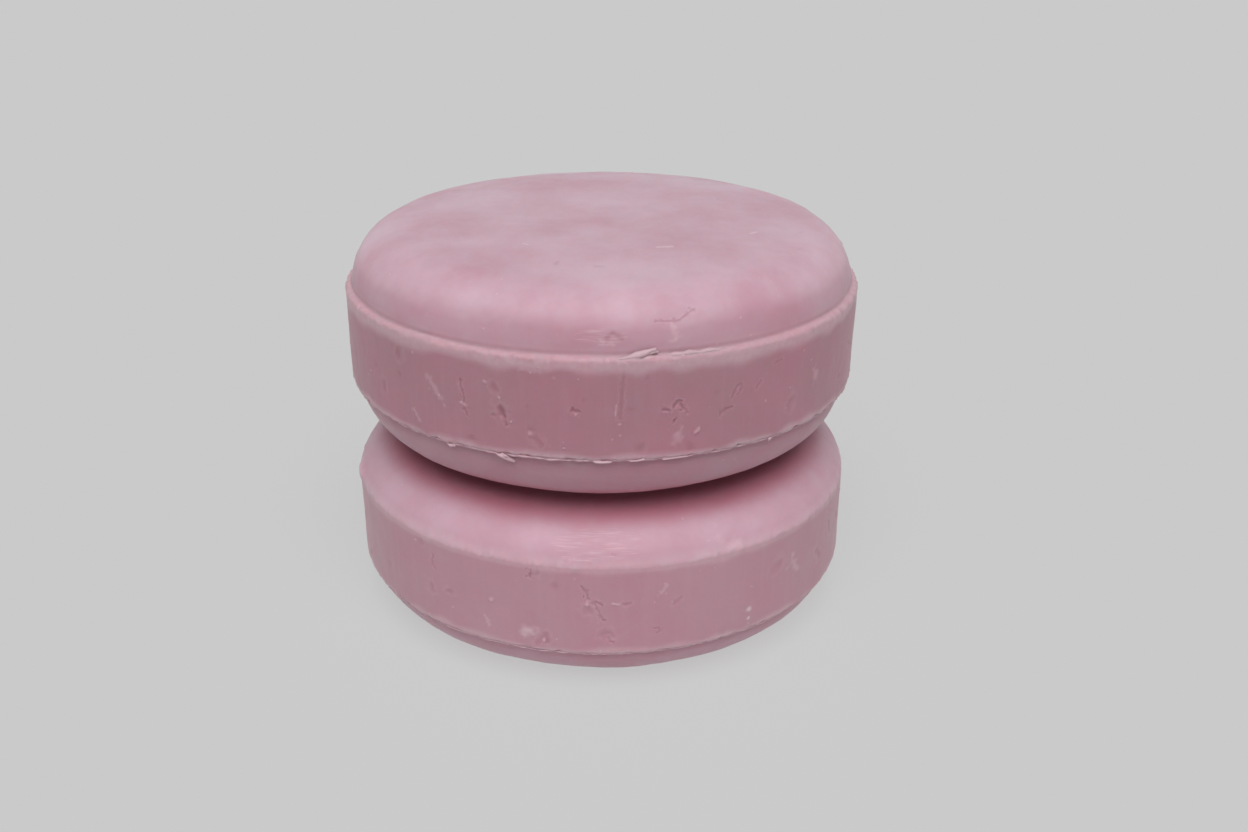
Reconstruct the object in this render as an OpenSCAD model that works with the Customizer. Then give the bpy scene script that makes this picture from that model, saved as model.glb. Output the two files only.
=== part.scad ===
// Shaving soap: two loose pressed pucks, one stacked on the other.
// Each puck has a straight band with a flat-topped crown above and below it. A narrow ledge
// parts band from crown, except on top of the lower puck, where the rim is worn round.
// The lower puck rests on z = 0, centred on the Z axis, and the upper puck rests on its flat land.

/* [Pucks] */
// Diameter across the straight bands
puck_d = 75; // [68:1:90]
// Height of the straight band of each puck
band_h = 14; // [9:0.5:20]
// Height of each crown of the upper puck
upper_crown_h = 8.8; // [7:0.1:11]
// Height of each crown of the lower puck
lower_crown_h = 6.2; // [5:0.1:9]

/* [Rims] */
// Width of the ledge between a band and its crown
ledge_w = 1; // [0.6:0.1:1.5]
// Radius of a crisp rim, beside a ledge
rim_r = 0.4; // [0.2:0.1:0.5]
// Radius of the worn rim on top of the lower puck
worn_rim_r = 1.6; // [0.8:0.1:2.5]
// Slope at which the worn rim runs into its crown, in degrees
worn_slope = 68; // [60:1:80]

/* [Crowns] */
// Diameter of the flat land in the middle of each crown, which the puck rests on
land_d = 30; // [20:1:32]
// Slope of the crown where the shallow dome meets the shoulder, in degrees
dome_slope = 8; // [4:1:10]

/* [Hidden] */
$fn = 180;

puck_r = puck_d / 2;
land_r = land_d / 2;
lower_puck_h = band_h + 2 * lower_crown_h;

lower_puck();
upper_puck();

// The puck underneath, with flatter crowns and the worn rim on top.
module lower_puck() {
    color("rosybrown")
        rotate_extrude()
            translate([0, lower_crown_h + band_h / 2]) {
                worn_half(lower_crown_h);
                mirror([0, 1])
                    crisp_half(lower_crown_h);
            }
}

// The loose puck on top, with taller crowns.
module upper_puck() {
    color("thistle")
        rotate_extrude()
            translate([0, lower_puck_h + upper_crown_h + band_h / 2]) {
                crisp_half(upper_crown_h);
                mirror([0, 1])
                    crisp_half(upper_crown_h);
            }
}

// Section of half a puck, from the middle of its band up, with a ledge below an upright crown.
module crisp_half(crown_h) {
    band_section(rim_r, 0);
    crown_section(crown_h, puck_r - ledge_w, 90);
}

// The same with a worn rim, which runs into the crown without a ledge.
module worn_half(crown_h) {
    band_section(worn_rim_r, worn_slope);
    crown_section(crown_h, puck_r - worn_rim_r * (1 - sin(worn_slope)), worn_slope);
}

// Section of the upper half of a band, whose rim curves inwards until its slope is end_slope.
module band_section(radius, end_slope) {
    rim_z = band_h / 2 - radius * cos(end_slope);
    square([puck_r, rim_z]);
    intersection() {
        translate([puck_r - radius, rim_z])
            circle(r = radius);
        square([puck_r, band_h / 2]);
    }
    square([puck_r - radius, band_h / 2]);
}

// Section of a crown on top of a band: a flat land, a shallow dome around it and a round shoulder.
// The dome leaves the land level and meets the shoulder at dome_slope.
// The shoulder ends foot_r from the axis, at foot_slope.
module crown_section(crown_h, foot_r, foot_slope) {
    dome_w = foot_r - land_r;
    flat = tan(dome_slope / 2);
    shoulder_r = (crown_h - dome_w * flat)
        / (cos(dome_slope) - cos(foot_slope) - (sin(foot_slope) - sin(dome_slope)) * flat);
    shoulder_x = foot_r - shoulder_r * sin(foot_slope);
    join_x = shoulder_x + shoulder_r * sin(dome_slope);
    dome_r = (join_x - land_r) / sin(dome_slope);
    translate([0, band_h / 2]) {
        square([land_r, crown_h]);
        intersection() {
            translate([land_r, crown_h - dome_r])
                circle(r = dome_r);
            translate([land_r, 0])
                square([join_x - land_r, crown_h]);
        }
        intersection() {
            translate([shoulder_x, -shoulder_r * cos(foot_slope)])
                circle(r = shoulder_r);
            translate([join_x, 0])
                square([foot_r - join_x, crown_h]);
        }
    }
}
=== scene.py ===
import math
from functools import partial

import bmesh
import bpy
import numpy as np
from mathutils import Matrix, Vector, noise


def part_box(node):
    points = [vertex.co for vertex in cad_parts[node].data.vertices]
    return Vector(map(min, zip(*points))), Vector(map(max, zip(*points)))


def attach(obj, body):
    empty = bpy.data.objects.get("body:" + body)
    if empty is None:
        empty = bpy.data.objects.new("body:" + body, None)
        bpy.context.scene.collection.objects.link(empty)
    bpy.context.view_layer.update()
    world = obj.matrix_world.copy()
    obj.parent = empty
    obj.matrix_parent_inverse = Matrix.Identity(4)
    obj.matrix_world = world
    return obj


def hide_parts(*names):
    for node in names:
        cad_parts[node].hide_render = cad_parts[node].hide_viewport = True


mm = 0.001
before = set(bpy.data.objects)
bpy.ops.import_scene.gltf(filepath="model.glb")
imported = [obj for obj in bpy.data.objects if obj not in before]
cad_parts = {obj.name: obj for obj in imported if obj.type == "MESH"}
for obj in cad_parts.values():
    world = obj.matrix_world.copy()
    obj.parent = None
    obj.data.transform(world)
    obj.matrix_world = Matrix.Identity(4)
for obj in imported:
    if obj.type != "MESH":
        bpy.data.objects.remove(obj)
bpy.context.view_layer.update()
print("frame loaded")


def linear(hexColour):  # an sRGB hex colour as linear RGBA
    channels = [int(hexColour[i:i + 2], 16) / 255 for i in (1, 3, 5)]
    return [c / 12.92 if c < 0.04045 else ((c + 0.055) / 1.055) ** 2.4 for c in channels] + [1.0]


def addNode(tree, kind, feeds=None, **settings):  # feeds: input name or number -> a value or an output
    node = tree.nodes.new(kind)
    for name, value in settings.items():
        setattr(node, name, value)
    for socket, value in (feeds or {}).items():
        if isinstance(value, bpy.types.NodeSocket):
            tree.links.new(value, node.inputs[socket])
        else:
            node.inputs[socket].default_value = value
    return node.outputs


def newTree(name, inputs):  # an empty geometry tree with named inputs
    tree = bpy.data.node_groups.new(name, "GeometryNodeTree")
    for label, kind in inputs.items():
        tree.interface.new_socket(label, in_out="INPUT", socket_type="NodeSocket" + kind)
    tree.interface.new_socket("Result", in_out="OUTPUT", socket_type="NodeSocketGeometry")
    return tree


def grow(name, start, tree, sizes):  # runs a geometry tree on a mesh and keeps the result as a plain mesh
    holder = bpy.data.objects.new(name + "Start", start)
    bpy.context.scene.collection.objects.link(holder)
    growing = holder.modifiers.new("growing", "NODES")
    growing.node_group = tree
    for item in tree.interface.items_tree:
        if item.in_out == "INPUT" and item.name in sizes:
            growing[item.identifier] = sizes[item.name]
    ready = bpy.context.evaluated_depsgraph_get()
    mesh = bpy.data.meshes.new_from_object(holder.evaluated_get(ready), depsgraph=ready)
    bpy.data.objects.remove(holder)
    mesh.name = name
    piece = bpy.data.objects.new(name, mesh)
    bpy.context.scene.collection.objects.link(piece)
    return piece


def fadeOut(x):  # 1 at zero, smoothly down to 0 at one
    x = np.clip(x, 0, 1)
    return 1 - x * x * (3 - 2 * x)


pressing = {  # how the mould shapes every puck
    "land": 15 * mm,  # radius of the flat in the middle of a crown
    "domeSlope": math.radians(8),  # where the dome meets the shoulder
    "ledge": 1 * mm,  # between a band and its crown
    "fillet": 0.3 * mm,  # inner corner of the ledge
    "rim": 0.65 * mm,  # crisp rim, a little rubbed
    "wornRim": 1.6 * mm,
    "wornSlope": math.radians(68),  # where the worn rim meets its crown
    "shoulderStep": 0.42 * mm,  # between mesh rings
    "landSteps": 17,
    "filletSteps": 3,
    "ledgeSteps": 1,
    "rimSteps": 5,
    "wornSteps": 5,
    "rings": 78,  # from the pole to the band
    "rows": 31,  # on the band
}


def arc(centreOut, centreUp, radius, slopes):  # (out, up) points; the arc is hollow if radius < 0
    return np.column_stack([centreOut + radius * np.sin(slopes), centreUp + radius * np.cos(slopes)])


def crownOutline(radius, crown, worn):  # (out, up) from the pole to the band, up from the band's edge
    land, slope, fillet = pressing["land"], pressing["domeSlope"], pressing["fillet"]
    rim = pressing["wornRim"] if worn else pressing["rim"]
    endSlope = pressing["wornSlope"] if worn else math.pi / 2
    foot = radius - rim * (1 - math.sin(endSlope)) if worn else radius - pressing["ledge"]
    flat = math.tan(slope / 2)
    shoulder = (crown - (foot - land) * flat) / (
        math.cos(slope) - math.cos(endSlope) - (math.sin(endSlope) - math.sin(slope)) * flat)
    across = foot - shoulder * math.sin(endSlope)
    dome = (across + shoulder * math.sin(slope) - land) / math.sin(slope)
    shoulderEnd = endSlope if worn else math.acos(fillet / shoulder)
    shoulderSteps = round(shoulder * (shoulderEnd - slope) / pressing["shoulderStep"])
    if worn:
        last = [arc(radius - rim, -rim * math.cos(endSlope), rim,
                    np.linspace(endSlope, math.pi / 2, pressing["wornSteps"] + 1)[1:])]
    else:
        last = [
            arc(foot + fillet, fillet, -fillet, np.linspace(shoulderEnd, 0, pressing["filletSteps"] + 1)[1:]),
            np.linspace((foot + fillet, 0), (radius - rim, 0), pressing["ledgeSteps"] + 1)[1:],
            arc(radius - rim, -rim, rim, np.linspace(0, math.pi / 2, pressing["rimSteps"] + 1)[1:]),
        ]
    domeSteps = pressing["rings"] - pressing["landSteps"] - shoulderSteps - sum(len(part) for part in last)
    return np.vstack([
        np.linspace((0, crown), (land, crown), pressing["landSteps"] + 1),
        arc(land, crown - dome, dome, np.linspace(0, slope, domeSteps + 1)[1:]),
        arc(across, -shoulder * math.cos(endSlope), shoulder,
            np.linspace(slope, shoulderEnd, shoulderSteps + 1)[1:]),
        *last,
    ])


def puckShape(puck):  # the clean outline, from the top pole to the bottom pole, and where the band lies
    low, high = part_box(puck["node"])
    top = crownOutline(high.x, puck["crown"], puck["wornTop"]) + (0, high.z - puck["crown"])
    bottom = crownOutline(high.x, puck["crown"], False) * (1, -1) + (0, low.z + puck["crown"])
    band = np.linspace(top[-1], bottom[-1], pressing["rows"] + 1)[1:-1]
    outline = np.vstack([top, band, bottom[::-1]])
    along = np.concatenate([[0], np.cumsum(np.linalg.norm(np.diff(outline, axis=0), axis=1))])
    edgeSteps = pressing["filletSteps"] + pressing["ledgeSteps"] + pressing["rimSteps"]
    return {
        "outline": outline,  # (out, up)
        "along": along,  # distance from the top pole
        "radius": high.x,
        "topRim": along[pressing["rings"]],
        "lowRim": along[-pressing["rings"] - 1],
        "bandFoot": along[-pressing["rings"] - 1] + pressing["rim"],
        "topFoot": along[pressing["rings"] - (pressing["wornSteps"] if puck["wornTop"] else edgeSteps)],
        "lowFoot": along[-pressing["rings"] - 1 + edgeSteps],
        "topRimUp": high.z - puck["crown"],
        "lowRimUp": low.z + puck["crown"],
    }


def outlineMesh(puck, shape):  # vertices (out, distance from the top pole, up), with how far each may move
    outline = shape["outline"]
    mesh = bpy.data.meshes.new(puck["name"] + "Outline")
    mesh.from_pydata(np.column_stack([outline[:, 0], shape["along"], outline[:, 1]]).tolist(), [], [])
    settled = fadeOut((outline[:, 0] - pressing["land"]) / puck["settling"])
    settled[:len(outline) // 2] *= puck["pressedOnTop"]
    mesh.attributes.new("free", "FLOAT", "POINT").data.foreach_set("value", 1 - settled)
    onBand = np.zeros(len(outline))
    onBand[pressing["rings"] + 1:-pressing["rings"] - 1] = 1
    mesh.attributes.new("onBand", "FLOAT", "POINT").data.foreach_set("value", onBand)
    return mesh


def pressedPuckTree():  # lays a cube's grid on an outline in rings, then ripples and pits the surface
    tree = newTree("pressedPuck", {
        "Outline": "Geometry", "Rings": "Int", "Rows": "Int", "Swell": "Float", "Swell size": "Float",
        "Ripple": "Float", "Ripple size": "Float", "Pits": "Float", "Crown pits": "Float",
        "Pit size": "Float", "Pit depth": "Float", "Pit tear": "Float", "Seed": "Int", "Soap": "Material"})
    add = partial(addNode, tree)
    sizes = add("NodeGroupInput")
    across = add("ShaderNodeMath", {0: sizes["Rings"], 1: 2.0, 2: 1.0}, operation="MULTIPLY_ADD")[0]
    tall = add("ShaderNodeMath", {0: sizes["Rows"], 1: 1.0}, operation="ADD")[0]
    grid = add("GeometryNodeMeshCube", {
        "Size": (2, 2, 2), "Vertices X": across, "Vertices Y": across, "Vertices Z": tall})["Mesh"]
    u, v, w = add("ShaderNodeSeparateXYZ", {0: add("GeometryNodeInputPosition")[0]})

    # m is 0 at the poles and 1 on the band; the station counts the outline's points down from the top pole
    uSize = add("ShaderNodeMath", {0: u}, operation="ABSOLUTE")[0]
    vSize = add("ShaderNodeMath", {0: v}, operation="ABSOLUTE")[0]
    m = add("ShaderNodeMath", {0: uSize, 1: vSize}, operation="MAXIMUM")[0]
    downBand = add("ShaderNodeMapRange", {
        "Value": w, "From Min": 1.0, "From Max": -1.0, "To Max": sizes["Rows"]})[0]
    toBand = add("ShaderNodeMapRange", {"Value": m, "To Min": sizes["Rings"], "To Max": 0.0})[0]
    side = add("ShaderNodeMath", {0: w}, operation="SIGN")[0]
    fromRim = add("ShaderNodeMath", {0: toBand, 1: side}, operation="MULTIPLY")[0]
    onto = add("ShaderNodeMath", {0: sizes["Rings"], 1: downBand}, operation="ADD")[0]
    station = add("ShaderNodeMath", {0: onto, 1: fromRim}, operation="SUBTRACT")[0]
    number = add("FunctionNodeFloatToInt", {0: station}, rounding_mode="ROUND")[0]
    place = add("GeometryNodeSampleIndex", {
        "Geometry": sizes["Outline"], "Value": add("GeometryNodeInputPosition")[0], "Index": number,
    }, data_type="FLOAT_VECTOR")[0]
    out, along, up = add("ShaderNodeSeparateXYZ", {0: place})

    # equal turns along each side of the square
    turnParts = []
    for part in (v, u):
        share = add("ShaderNodeMath", {0: part, 1: m}, operation="DIVIDE")[0]
        angle = add("ShaderNodeMath", {0: share, 1: math.pi / 4}, operation="MULTIPLY")[0]
        turnParts.append(add("ShaderNodeMath", {0: angle}, operation="TANGENT")[0])
    turn = add("ShaderNodeMath", {0: turnParts[0], 1: turnParts[1]}, operation="ARCTAN2")[0]
    aim = add("ShaderNodeCombineXYZ", {
        0: add("ShaderNodeMath", {0: turn}, operation="COSINE")[0],
        1: add("ShaderNodeMath", {0: turn}, operation="SINE")[0]})[0]
    level = add("ShaderNodeVectorMath", {0: aim, "Scale": out}, operation="SCALE")[0]
    raised = add("ShaderNodeCombineXYZ", {2: up})[0]
    spot = add("ShaderNodeVectorMath", {0: level, 1: raised}, operation="ADD")[0]
    shape = add("GeometryNodeStoreNamedAttribute", {"Geometry": grid, "Name": "along", "Value": along})[0]
    shape = add("GeometryNodeStoreNamedAttribute", {
        "Geometry": shape, "Name": "home", "Value": spot}, data_type="FLOAT_VECTOR")[0]
    for name in ("free", "onBand"):
        value = add("GeometryNodeInputNamedAttribute", {"Name": name})["Attribute"]
        value = add("GeometryNodeSampleIndex", {
            "Geometry": sizes["Outline"], "Value": value, "Index": number})[0]
        shape = add("GeometryNodeStoreNamedAttribute", {"Geometry": shape, "Name": name, "Value": value})[0]
    shape = add("GeometryNodeSetPosition", {"Geometry": shape, "Position": spot})[0]
    free = add("GeometryNodeInputNamedAttribute", {"Name": "free"})["Attribute"]
    onBand = add("GeometryNodeInputNamedAttribute", {"Name": "onBand"})["Attribute"]

    # uneven shrinkage: long low swells and short ripples
    here = add("GeometryNodeInputPosition")[0]
    outward = add("GeometryNodeInputNormal")[0]
    rise = 0.0
    for height, size in (("Swell", "Swell size"), ("Ripple", "Ripple size")):
        fine = add("ShaderNodeMath", {0: 1.0, 1: sizes[size]}, operation="DIVIDE")[0]
        waves = add("ShaderNodeTexNoise", {"Vector": here, "Scale": fine, "Detail": 1.0})["Fac"]
        waves = add("ShaderNodeMapRange", {
            "Value": waves, "From Min": 0.3, "From Max": 0.7, "To Min": -1.0, "To Max": 1.0})[0]
        rise = add("ShaderNodeMath", {0: waves, 1: sizes[height], 2: rise}, operation="MULTIPLY_ADD")[0]
    rise = add("ShaderNodeMath", {0: rise, 1: free}, operation="MULTIPLY")[0]
    shift = add("ShaderNodeVectorMath", {0: outward, "Scale": rise}, operation="SCALE")[0]
    shape = add("GeometryNodeSetPosition", {"Geometry": shape, "Offset": shift})[0]

    # pits of many sizes, thick on the band and few on the crowns
    density = add("ShaderNodeMapRange", {
        "Value": onBand, "To Min": sizes["Crown pits"], "To Max": sizes["Pits"]})[0]
    dots = add("GeometryNodeDistributePointsOnFaces", {
        "Mesh": shape, "Density": density, "Seed": sizes["Seed"]})["Points"]
    least = add("ShaderNodeMath", {0: sizes["Pit size"], 1: 0.35}, operation="MULTIPLY")[0]
    reach = add("FunctionNodeRandomValue", {2: least, 3: sizes["Pit size"], "Seed": sizes["Seed"]})[1]
    dots = add("GeometryNodeStoreNamedAttribute", {"Geometry": dots, "Name": "reach", "Value": reach})[0]
    tearSize = add("ShaderNodeMath", {0: 1.0, 1: sizes["Pit tear"]}, operation="DIVIDE")[0]
    tear = add("ShaderNodeTexNoise", {"Vector": here, "Scale": tearSize})["Color"]
    tear = add("ShaderNodeVectorMath", {0: tear, 1: (0.5, 0.5, 0.5)}, operation="SUBTRACT")[0]
    tear = add("ShaderNodeVectorMath", {0: tear, "Scale": sizes["Pit size"]}, operation="SCALE")[0]
    torn = add("ShaderNodeVectorMath", {0: here, 1: tear}, operation="ADD")[0]
    nearest = add("GeometryNodeSampleNearest", {"Geometry": dots, "Sample Position": torn})[0]
    reach = add("GeometryNodeInputNamedAttribute", {"Name": "reach"})["Attribute"]
    reach = add("GeometryNodeSampleIndex", {"Geometry": dots, "Value": reach, "Index": nearest})[0]
    distance = add("GeometryNodeProximity", {
        "Geometry": dots, "Sample Position": torn}, target_element="POINTS")[1]
    # how far into a pit: it sinks the surface and sets the painted shade in the pit
    deep = add("ShaderNodeMapRange", {
        "Value": distance, "From Max": reach, "To Min": 1.0, "To Max": 0.0,
    }, interpolation_type="SMOOTHSTEP")[0]
    deep = add("ShaderNodeMath", {0: deep, 1: free}, operation="MULTIPLY")[0]
    shape = add("GeometryNodeStoreNamedAttribute", {"Geometry": shape, "Name": "deep", "Value": deep})[0]
    depth = add("ShaderNodeMath", {0: reach, 1: sizes["Pit depth"]}, operation="MULTIPLY")[0]
    deep = add("GeometryNodeInputNamedAttribute", {"Name": "deep"})["Attribute"]
    sink = add("ShaderNodeMath", {0: deep, 1: depth}, operation="MULTIPLY")[0]
    shift = add("ShaderNodeVectorMath", {0: outward, "Scale": sink}, operation="SCALE")[0]
    shape = add("GeometryNodeSetPosition", {"Geometry": shape, "Offset": shift})[0]

    shape = add("GeometryNodeSetShadeSmooth", {"Geometry": shape})[0]
    shape = add("GeometryNodeRealizeInstances", {"Geometry": shape})[0]
    shape = add("GeometryNodeSetMaterial", {"Geometry": shape, "Material": sizes["Soap"]})[0]
    add("NodeGroupOutput", {0: shape})
    return tree


def tornFlashTree():  # a thin ragged fin of soap along each line of a path
    tree = newTree("tornFlash", {
        "Path": "Geometry", "Sway": "Float", "Sway size": "Float", "Tear size": "Float", "Thinness": "Float",
        "Soap": "Material"})
    add = partial(addNode, tree)
    sizes = add("NodeGroupInput")
    here = add("GeometryNodeInputPosition")[0]
    swaySize = add("ShaderNodeMath", {0: 1.0, 1: sizes["Sway size"]}, operation="DIVIDE")[0]
    sway = add("ShaderNodeTexNoise", {"Vector": here, "Scale": swaySize})["Color"]
    sway = add("ShaderNodeVectorMath", {0: sway, 1: (0.5, 0.5, 0.5)}, operation="SUBTRACT")[0]
    sway = add("ShaderNodeVectorMath", {0: sway, "Scale": sizes["Sway"]}, operation="SCALE")[0]
    tearSize = add("ShaderNodeMath", {0: 1.0, 1: sizes["Tear size"]}, operation="DIVIDE")[0]
    left = add("ShaderNodeTexNoise", {"Vector": here, "Scale": tearSize, "Detail": 3.0})["Fac"]
    left = add("ShaderNodeMapRange", {
        "Value": left, "From Min": 0.36, "From Max": 0.62, "To Min": 0.25, "To Max": 1.3})[0]
    girth = add("GeometryNodeInputNamedAttribute", {"Name": "girth"})["Attribute"]
    girth = add("ShaderNodeMath", {0: girth, 1: left}, operation="MULTIPLY")[0]
    line = add("GeometryNodeMeshToCurve", {"Mesh": sizes["Path"]})[0]
    line = add("GeometryNodeStoreNamedAttribute", {"Geometry": line, "Name": "girth", "Value": girth})[0]
    line = add("GeometryNodeSetPosition", {"Geometry": line, "Offset": sway})[0]
    line = add("GeometryNodeSetCurveNormal", {"Curve": line}, mode="Z_UP")[0]
    profile = add("GeometryNodeCurvePrimitiveCircle", {"Resolution": 6, "Radius": 1.0})["Curve"]
    flat = add("ShaderNodeCombineXYZ", {0: sizes["Thinness"], 1: 1.0, 2: 1.0})[0]
    profile = add("GeometryNodeTransform", {"Geometry": profile, "Scale": flat})[0]
    girth = add("GeometryNodeInputNamedAttribute", {"Name": "girth"})["Attribute"]
    fin = add("GeometryNodeCurveToMesh", {
        "Curve": line, "Profile Curve": profile, "Scale": girth, "Fill Caps": True})[0]
    fin = add("GeometryNodeSetShadeSmooth", {"Geometry": fin})[0]
    fin = add("GeometryNodeRealizeInstances", {"Geometry": fin})[0]
    fin = add("GeometryNodeSetMaterial", {"Geometry": fin, "Material": sizes["Soap"]})[0]
    add("NodeGroupOutput", {0: fin})
    return tree


crumbShape = {
    "ratio": (0.5, 1.2),  # of a crumb's two widths
    "height": 0.45,  # in parts of its width
    "knobs": 0.3 * mm,
    "pale": 0.15,
}


def soapCrumbsTree():  # little lumps of soap stuck to a puck
    tree = newTree("soapCrumbs", {
        "Puck": "Geometry", "Band density": "Float", "Crown density": "Float", "Smallest": "Float",
        "Largest": "Float", "Seed": "Int", "Soap": "Material"})
    add = partial(addNode, tree)
    sizes = add("NodeGroupInput")
    onBand = add("GeometryNodeInputNamedAttribute", {"Name": "onBand"})["Attribute"]
    crumby = add("GeometryNodeInputNamedAttribute", {"Name": "crumby"})["Attribute"]
    density = add("ShaderNodeMapRange", {
        "Value": onBand, "To Min": sizes["Crown density"], "To Max": sizes["Band density"]})[0]
    density = add("ShaderNodeMath", {0: density, 1: crumby}, operation="MULTIPLY")[0]
    spots = add("GeometryNodeDistributePointsOnFaces", {
        "Mesh": sizes["Puck"], "Density": density, "Seed": sizes["Seed"]})
    lump = add("GeometryNodeMeshIcoSphere", {"Radius": 1.0, "Subdivisions": 2})["Mesh"]
    wide = add("FunctionNodeRandomValue", {
        2: sizes["Smallest"], 3: sizes["Largest"], "Seed": sizes["Seed"]})[1]
    narrow, broad = crumbShape["ratio"]
    ratio = add("FunctionNodeRandomValue", {2: narrow, 3: broad, "Seed": 11})[1]
    long = add("ShaderNodeMath", {0: wide, 1: ratio}, operation="MULTIPLY")[0]
    high = add("ShaderNodeMath", {0: wide, 1: crumbShape["height"]}, operation="MULTIPLY")[0]
    scale = add("ShaderNodeCombineXYZ", {0: wide, 1: long, 2: high})[0]
    crumbs = add("GeometryNodeInstanceOnPoints", {
        "Points": spots["Points"], "Instance": lump, "Rotation": spots["Rotation"], "Scale": scale})[0]
    crumbs = add("GeometryNodeRealizeInstances", {"Geometry": crumbs})[0]
    here = add("GeometryNodeInputPosition")[0]
    knobbly = add("ShaderNodeTexNoise", {"Vector": here, "Scale": 1 / crumbShape["knobs"]})["Color"]
    knobbly = add("ShaderNodeVectorMath", {0: knobbly, 1: (0.5, 0.5, 0.5)}, operation="SUBTRACT")[0]
    knobbly = add("ShaderNodeVectorMath", {0: knobbly, "Scale": sizes["Smallest"]}, operation="SCALE")[0]
    crumbs = add("GeometryNodeSetPosition", {"Geometry": crumbs, "Offset": knobbly})[0]
    crumbs = add("GeometryNodeStoreNamedAttribute", {
        "Geometry": crumbs, "Name": "pale", "Value": crumbShape["pale"]})[0]
    crumbs = add("GeometryNodeSetShadeSmooth", {"Geometry": crumbs})[0]
    crumbs = add("GeometryNodeSetMaterial", {"Geometry": crumbs, "Material": sizes["Soap"]})[0]
    add("NodeGroupOutput", {0: crumbs})
    return tree


markKinds = {  # depth and lip in parts of half the width; deep darkens, as painted shade in dents, pits and cracks and as the colour of stains and chips; pale whitens, ragged breaks the edge
    "dent": {"depth": 0.16, "lip": 0.03, "deep": 0.12, "pale": 0.0, "lipPale": 0.06, "ragged": 0.6},
    "pit": {"depth": 0.36, "lip": 0.03, "deep": 0.34, "pale": 0.0, "lipPale": 0.05, "ragged": 1.1},
    "crack": {"depth": 0.28, "lip": 0.04, "deep": 0.22, "pale": 0.0, "lipPale": 0.07, "ragged": 1.3},
    "chip": {"depth": 0.12, "lip": 0.0, "deep": 0.40, "pale": 0.0, "lipPale": 0.0, "ragged": 0.5},
    "smear": {"depth": -0.05, "lip": 0.0, "deep": 0.0, "pale": 0.22, "lipPale": 0.0, "ragged": 1.3},
    "bump": {"depth": -0.35, "lip": 0.0, "deep": 0.0, "pale": 0.25, "lipPale": 0.0, "ragged": 0.6},
    "spot": {"depth": -0.05, "lip": 0.0, "deep": 0.0, "pale": 0.70, "lipPale": 0.0, "ragged": 0.6},
    "patch": {"depth": -0.02, "lip": 0.0, "deep": 0.0, "pale": 0.42, "lipPale": 0.0, "ragged": 1.0},
    "stain": {"depth": 0.05, "lip": 0.0, "deep": 0.22, "pale": 0.0, "lipPale": 0.0, "ragged": 0.6},
}

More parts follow.
